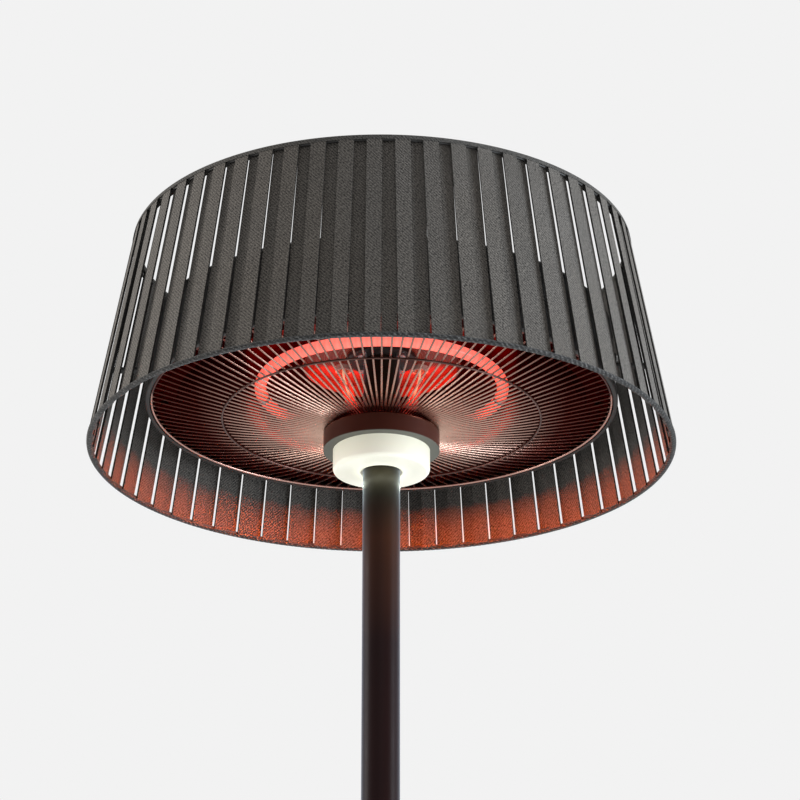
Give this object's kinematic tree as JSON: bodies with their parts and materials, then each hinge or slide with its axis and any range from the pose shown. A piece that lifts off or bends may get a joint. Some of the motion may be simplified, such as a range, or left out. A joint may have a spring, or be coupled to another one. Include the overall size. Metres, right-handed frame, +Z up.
{
  "type": "free-standing electric heater",
  "caption": "Free-standing electric heater: round weighted base, slim pole, ring lamp behind a wire grille, light under the hub and a tapered shade of woven straps.",
  "frame": {"origin": "on the floor under the middle of the pole", "axes": "+Z up along the pole, -Y to the front, which faces the camera"},
  "size_m": [0.6009, 0.601, 2.1003],
  "materials": {
    "webbing_outer": "charcoal twill webbing, matt",
    "webbing_inner": "charcoal twill webbing, matt, darker",
    "edge_cord": "braided speckled edge cord",
    "edge_tape": "folded woven edge tape",
    "black_wire": "black powder-coated steel wire and strip",
    "drum_paint": "black heat-proof paint, satin",
    "reflector_metal": "heat-tinted spun steel",
    "grille_wire": "bright drawn wire",
    "lamp_glass": "quartz glass",
    "filament": "tungsten coil, drawn as a rod",
    "ceramic": "white steatite",
    "hub_paint": "anthracite paint, satin",
    "diffuser": "opal light cover",
    "board": "white-coated aluminium circuit board",
    "led": "phosphor",
    "silicone": "cream silicone",
    "rubber_black": "black rubber",
    "pole_paint": "anthracite paint, satin",
    "base_paint": "anthracite paint, satin",
    "iron": "raw cast iron",
    "zinc": "zinc-plated steel",
    "wool": "mineral wool",
    "plastic_black": "black moulded plastic",
    "rocker": "black moulded plastic, glossy",
    "button_red": "dark red moulded plastic",
    "button_cream": "cream moulded plastic",
    "cable": "black sheathed cable"
  },
  "bodies": {
    "stand": {"outer_straps": "webbing_outer", "inner_straps": "webbing_inner", "foot_binding": "edge_cord", "top_binding": "edge_tape", "shade_foot_ring": "black_wire", "shade_top_ring": "black_wire", "shade_ribs": "black_wire", "shade_arms": "black_wire", "arm_screws": "zinc", "drum_cover": "drum_paint", "drum_rim": "drum_paint", "ledge_ring": "zinc", "ledge_screws": "drum_paint", "reflector": "reflector_metal", "heat_wool": "wool", "head_bridge": "zinc", "head_spigot": "black_wire", "head_bolts": "zinc", "lamp_glass": "lamp_glass", "lamp_filament": "filament", "lamp_caps": "ceramic", "lamp_clips": "zinc", "terminal_blocks": "plastic_black", "thermal_cutout": "zinc", "grille_outer_ring": "grille_wire", "grille_middle_ring": "grille_wire", "grille_hub_ring": "grille_wire", "grille_wires": "grille_wire", "hub_collar": "hub_paint", "hub_plate": "hub_paint", "hub_screws": "zinc", "led_board": "board", "leds": "led", "led_diffuser": "diffuser", "diffuser_gasket": "silicone", "lower_tube": "pole_paint", "middle_tube": "pole_paint", "upper_tube": "pole_paint", "pole_sleeves": "zinc", "pole_grubs": "black_wire", "pole_cable": "cable", "pole_trim": "pole_paint", "pole_socket": "zinc", "socket_bolts": "zinc", "base_feet": "rubber_black", "base_plate": "zinc", "base_weight": "iron", "cover_posts": "zinc", "cover_screws": "zinc", "base_cover": "base_paint", "cord_inlet": "plastic_black", "switch_frame": "plastic_black", "button_bushes": "plastic_black", "button_switches": "plastic_black", "tilt_bracket": "zinc", "tilt_pin": "zinc"},
    "power_rocker": {"power_rocker": "rocker"},
    "heat_button": {"heat_button": "button_red"},
    "light_button": {"light_button": "button_cream"},
    "tilt_pendulum": {"tilt_pendulum": "iron"}
  },
  "joints": [
    {"name": "rocker_tilt", "type": "hinge", "parent": "stand", "child": "power_rocker", "pos_m": [0, 0.19, 0.074], "axis": [1, 0, 0], "range_deg": [0, 16]},
    {"name": "heat_press", "type": "slide", "parent": "stand", "child": "heat_button", "axis": [0, 0, -1], "range_m": [0, 0.003], "stiffness_N_per_m": 800},
    {"name": "light_press", "type": "slide", "parent": "stand", "child": "light_button", "axis": [0, 0, -1], "range_m": [0, 0.003], "stiffness_N_per_m": 800},
    {"name": "tilt_swing", "type": "hinge", "parent": "stand", "child": "tilt_pendulum", "pos_m": [-0.14, 0, 0.064], "axis": [1, 0, 0], "range_deg": [-20, 20]}
  ]
}
